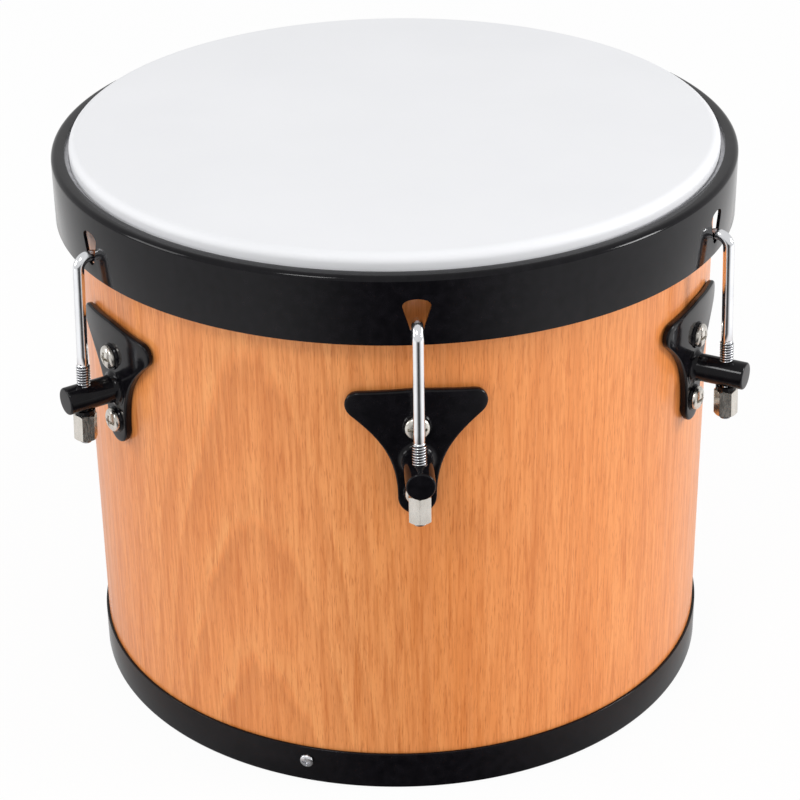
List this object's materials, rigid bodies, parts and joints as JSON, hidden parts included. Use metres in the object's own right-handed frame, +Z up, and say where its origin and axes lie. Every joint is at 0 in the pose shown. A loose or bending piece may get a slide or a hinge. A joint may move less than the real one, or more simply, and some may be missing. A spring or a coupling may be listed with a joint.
{
  "type": "hand drum",
  "caption": "Single-headed cylindrical wooden hand drum with a pressure hoop, hooked tension rods, long nuts under lug posts and a metal bottom hoop.",
  "frame": {"origin": "centre of the face that the drum stands on, at the underside of the bottom hoop", "axes": "+Z up along the drum's own axis; lug 1 points along -Y and the others follow every 60 degrees"},
  "size_m": [0.3196, 0.356, 0.2715],
  "materials": {
    "veneer": "satin lacquer",
    "white_head": "matt coated synthetic head",
    "black_enamel": "gloss black",
    "black_washer": "satin black",
    "bright_zinc": "bright zinc plate",
    "nickel": "satin nickel plate",
    "plain_steel": "plain zinc"
  },
  "bodies": {
    "shell_body": {"shell": "veneer", "bottom_hoop": "black_enamel", "bottom_screw_1": "bright_zinc", "bottom_screw_2": "bright_zinc", "bottom_screw_3": "bright_zinc", "lug_1": "black_enamel", "lug_screw_1_lower": "nickel", "inner_nut_1_lower": "plain_steel", "lug_screw_1_upper": "nickel", "inner_nut_1_upper": "plain_steel", "washer_1": "black_washer", "lug_2": "black_enamel", "lug_screw_2_lower": "nickel", "inner_nut_2_lower": "plain_steel", "lug_screw_2_upper": "nickel", "inner_nut_2_upper": "plain_steel", "washer_2": "black_washer", "lug_3": "black_enamel", "lug_screw_3_lower": "nickel", "inner_nut_3_lower": "plain_steel", "lug_screw_3_upper": "nickel", "inner_nut_3_upper": "plain_steel", "washer_3": "black_washer", "lug_4": "black_enamel", "lug_screw_4_lower": "nickel", "inner_nut_4_lower": "plain_steel", "lug_screw_4_upper": "nickel", "inner_nut_4_upper": "plain_steel", "washer_4": "black_washer", "lug_5": "black_enamel", "lug_screw_5_lower": "nickel", "inner_nut_5_lower": "plain_steel", "lug_screw_5_upper": "nickel", "inner_nut_5_upper": "plain_steel", "washer_5": "black_washer", "lug_6": "black_enamel", "lug_screw_6_lower": "nickel", "inner_nut_6_lower": "plain_steel", "lug_screw_6_upper": "nickel", "inner_nut_6_upper": "plain_steel", "washer_6": "black_washer"},
    "tension_hoop": {"pressure_hoop": "black_enamel", "head": "white_head", "flesh_hoop": "plain_steel", "tension_rod_1": "bright_zinc", "tension_rod_2": "bright_zinc", "tension_rod_3": "bright_zinc", "tension_rod_4": "bright_zinc", "tension_rod_5": "bright_zinc", "tension_rod_6": "bright_zinc"},
    "nut_1": {"tension_nut_1": "nickel"},
    "nut_2": {"tension_nut_2": "nickel"},
    "nut_3": {"tension_nut_3": "nickel"},
    "nut_4": {"tension_nut_4": "nickel"},
    "nut_5": {"tension_nut_5": "nickel"},
    "nut_6": {"tension_nut_6": "nickel"}
  },
  "joints": [
    {"name": "hoop_lift", "type": "slide", "parent": "shell_body", "child": "tension_hoop", "axis": [0, 0, 1], "range_m": [0, 0.006]},
    {"name": "nut_1_turn", "type": "hinge", "parent": "shell_body", "child": "nut_1", "pos_m": [0, -0.16916, 0.16214], "axis": [0, 0.0384, 0.9993], "range_deg": [0, 1702]},
    {"name": "nut_2_turn", "type": "hinge", "parent": "shell_body", "child": "nut_2", "pos_m": [0.1465, -0.08458, 0.16214], "axis": [-0.0332, 0.0192, 0.9993], "range_deg": [0, 1702]},
    {"name": "nut_3_turn", "type": "hinge", "parent": "shell_body", "child": "nut_3", "pos_m": [0.1465, 0.08458, 0.16214], "axis": [-0.0332, -0.0192, 0.9993], "range_deg": [0, 1702]},
    {"name": "nut_4_turn", "type": "hinge", "parent": "shell_body", "child": "nut_4", "pos_m": [0, 0.16916, 0.16214], "axis": [0, -0.0384, 0.9993], "range_deg": [0, 1702]},
    {"name": "nut_5_turn", "type": "hinge", "parent": "shell_body", "child": "nut_5", "pos_m": [-0.1465, 0.08458, 0.16214], "axis": [0.0332, -0.0192, 0.9993], "range_deg": [0, 1702]},
    {"name": "nut_6_turn", "type": "hinge", "parent": "shell_body", "child": "nut_6", "pos_m": [-0.1465, -0.08458, 0.16214], "axis": [0.0332, 0.0192, 0.9993], "range_deg": [0, 1702]}
  ],
  "couplings": [
    {"joint": "nut_1_turn", "follows": "hoop_lift", "rad_per_m": 4943.7},
    {"joint": "nut_2_turn", "follows": "hoop_lift", "rad_per_m": 4943.7},
    {"joint": "nut_3_turn", "follows": "hoop_lift", "rad_per_m": 4943.7},
    {"joint": "nut_4_turn", "follows": "hoop_lift", "rad_per_m": 4943.7},
    {"joint": "nut_5_turn", "follows": "hoop_lift", "rad_per_m": 4943.7},
    {"joint": "nut_6_turn", "follows": "hoop_lift", "rad_per_m": 4943.7}
  ]
}
